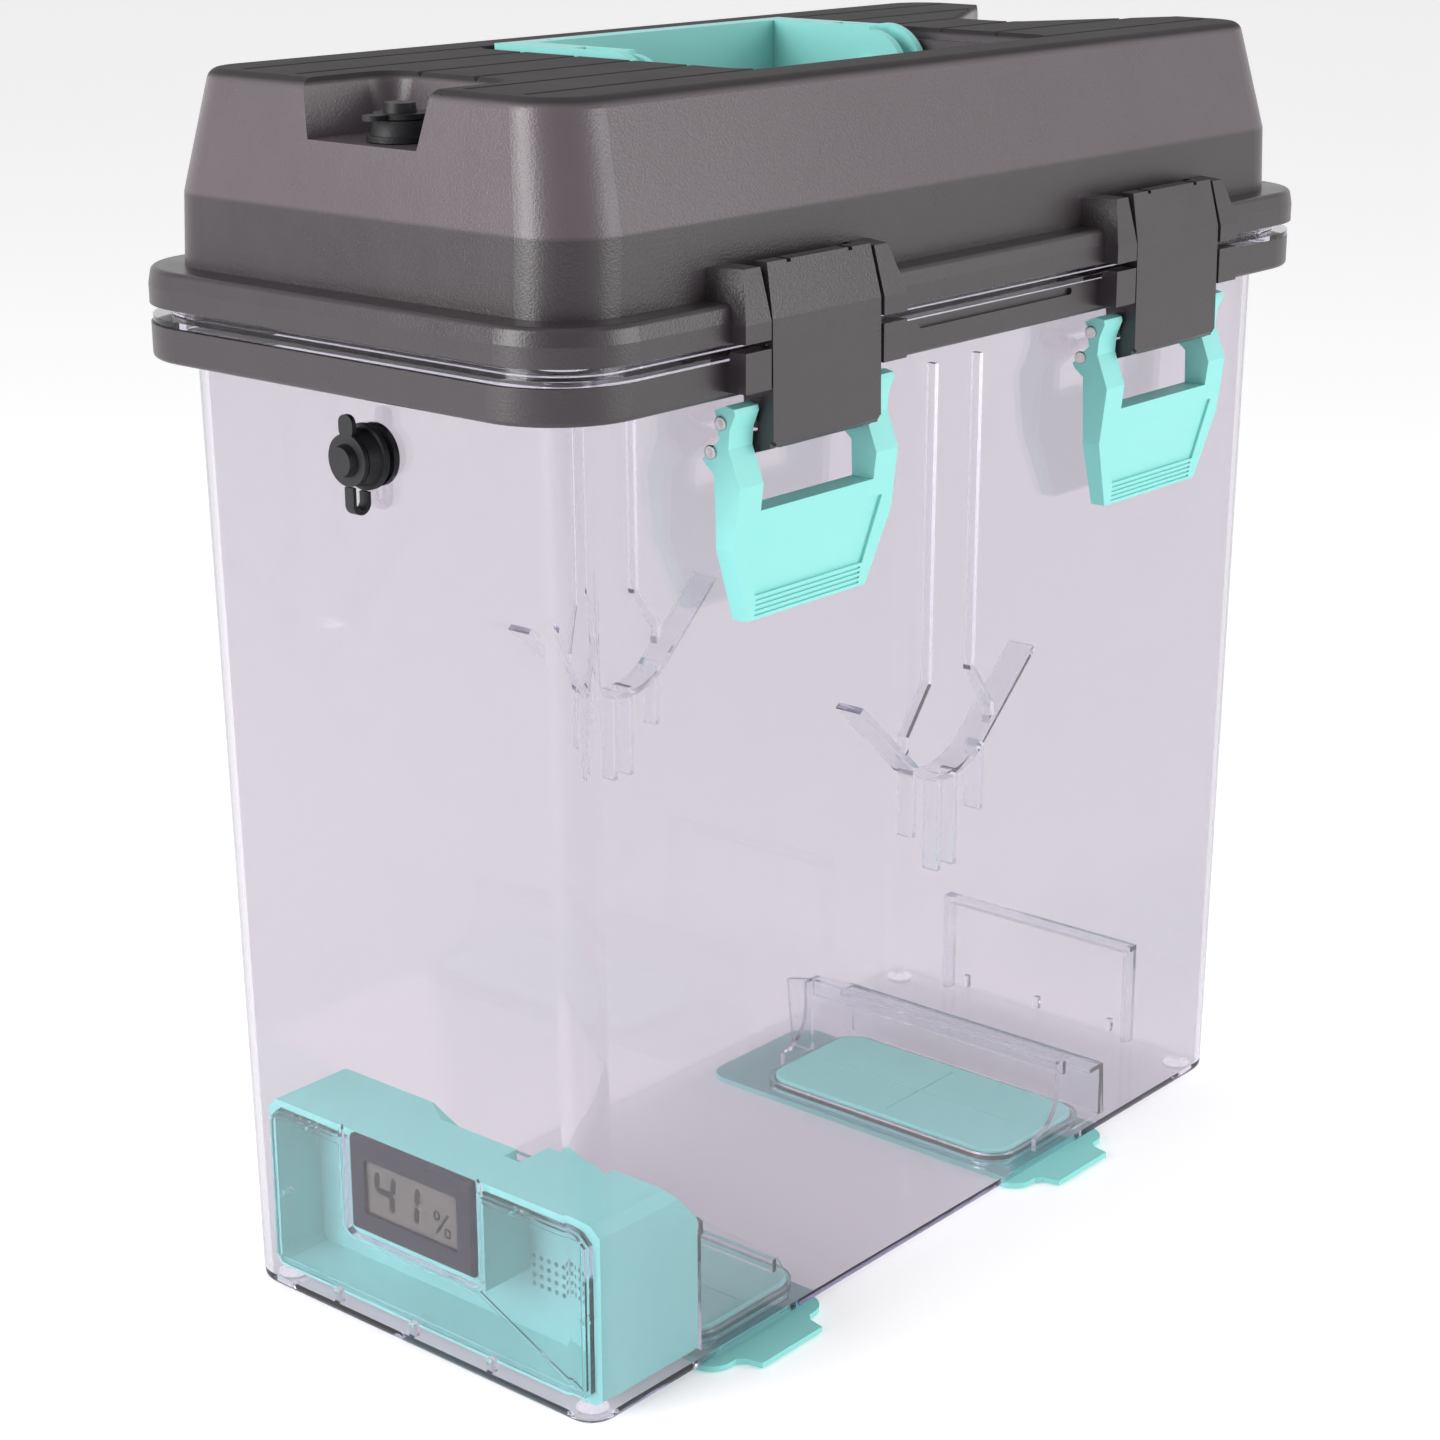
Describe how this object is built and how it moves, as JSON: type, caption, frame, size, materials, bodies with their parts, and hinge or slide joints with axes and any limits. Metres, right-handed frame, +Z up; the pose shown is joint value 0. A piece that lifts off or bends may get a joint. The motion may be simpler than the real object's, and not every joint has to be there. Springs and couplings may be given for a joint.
{
  "type": "filament dryer box",
  "caption": "Clear lidded dry box for a filament spool, with draw latches, carrying handle, humidity module and desiccant hatches.",
  "frame": {"origin": "middle of the footprint on the standing surface", "axes": "+X along the long walls away from the humidity module, +Y towards the lid hinge, +Z up"},
  "size_m": [0.338, 0.1712, 0.3456],
  "materials": {
    "clear_plastic": "clear polished plastic",
    "dark_plastic": "satin",
    "teal_plastic": "satin",
    "black_rubber": "matte",
    "steel": "plain",
    "black_plastic": "satin",
    "display": "semi-gloss",
    "board": "matte"
  },
  "bodies": {
    "bin": {"clear_bin": "clear_plastic", "rim_band": "dark_plastic", "front_spool_cradle": "clear_plastic", "rear_spool_cradle": "clear_plastic", "latch_pivot_pins": "steel", "hinge_pins": "steel", "near_hatch_guard": "clear_plastic", "far_hatch_guard": "clear_plastic", "far_bay_frame": "clear_plastic", "wall_outlet_grommet": "black_rubber", "wall_outlet_strap": "black_rubber"},
    "lid": {"lid_shell": "dark_plastic", "lid_seal": "black_rubber", "handle_pins": "steel", "lid_outlet_grommet": "black_rubber", "lid_outlet_strap": "black_rubber"},
    "handle": {"carry_handle": "teal_plastic"},
    "near_lever": {"near_latch_lever": "teal_plastic", "near_link_pin": "steel"},
    "near_hook": {"near_hook_plate": "dark_plastic"},
    "far_lever": {"far_latch_lever": "teal_plastic", "far_link_pin": "steel"},
    "far_hook": {"far_hook_plate": "dark_plastic"},
    "lid_plug": {"lid_outlet_plug": "black_rubber"},
    "wall_plug": {"wall_outlet_plug": "black_rubber"},
    "near_hatch_body": {"near_hatch": "teal_plastic", "near_hatch_seal": "black_rubber"},
    "far_hatch_body": {"far_hatch": "teal_plastic", "far_hatch_seal": "black_rubber"},
    "module": {"module_housing": "teal_plastic", "module_cover": "clear_plastic", "meter_case": "black_plastic", "meter_display": "display", "meter_board": "board", "meter_cells": "steel"}
  },
  "joints": [
    {"name": "lid_hinge", "type": "hinge", "parent": "bin", "child": "lid", "pos_m": [0, 0.082, 0.286], "axis": [-1, 0, 0], "range_deg": [0, 100]},
    {"name": "handle_hinge", "type": "hinge", "parent": "lid", "child": "handle", "pos_m": [0, 0.004, 0.332], "axis": [1, 0, 0], "range_deg": [0, 90]},
    {"name": "near_lever_hinge", "type": "hinge", "parent": "bin", "child": "near_lever", "pos_m": [-0.08, -0.0775, 0.2655], "axis": [-1, 0, 0], "range_deg": [0, 96]},
    {"name": "near_hook_hinge", "type": "hinge", "parent": "near_lever", "child": "near_hook", "pos_m": [-0.08, -0.0743, 0.258], "axis": [1, 0, 0], "range_deg": [0, 76]},
    {"name": "far_lever_hinge", "type": "hinge", "parent": "bin", "child": "far_lever", "pos_m": [0.08, -0.0775, 0.2655], "axis": [-1, 0, 0], "range_deg": [0, 96]},
    {"name": "far_hook_hinge", "type": "hinge", "parent": "far_lever", "child": "far_hook", "pos_m": [0.08, -0.0743, 0.258], "axis": [1, 0, 0], "range_deg": [0, 76]},
    {"name": "lid_plug_slide", "type": "slide", "parent": "lid", "child": "lid_plug", "axis": [0, 0, 1], "range_m": [0, 0.008]},
    {"name": "wall_plug_slide", "type": "slide", "parent": "bin", "child": "wall_plug", "axis": [-1, 0, 0], "range_m": [0, 0.008]},
    {"name": "near_hatch_slide", "type": "slide", "parent": "bin", "child": "near_hatch_body", "axis": [0, 0, -1], "range_m": [0, 0.014]},
    {"name": "far_hatch_slide", "type": "slide", "parent": "bin", "child": "far_hatch_body", "axis": [0, 0, -1], "range_m": [0, 0.014]},
    {"name": "module_lift", "type": "slide", "parent": "bin", "child": "module", "axis": [0, 0, 1], "range_m": [0, 0.04]}
  ],
  "couplings": [
    {"joint": "near_hook_hinge", "follows": "near_lever_hinge", "ratio": 0.79},
    {"joint": "far_hook_hinge", "follows": "far_lever_hinge", "ratio": 0.79}
  ]
}
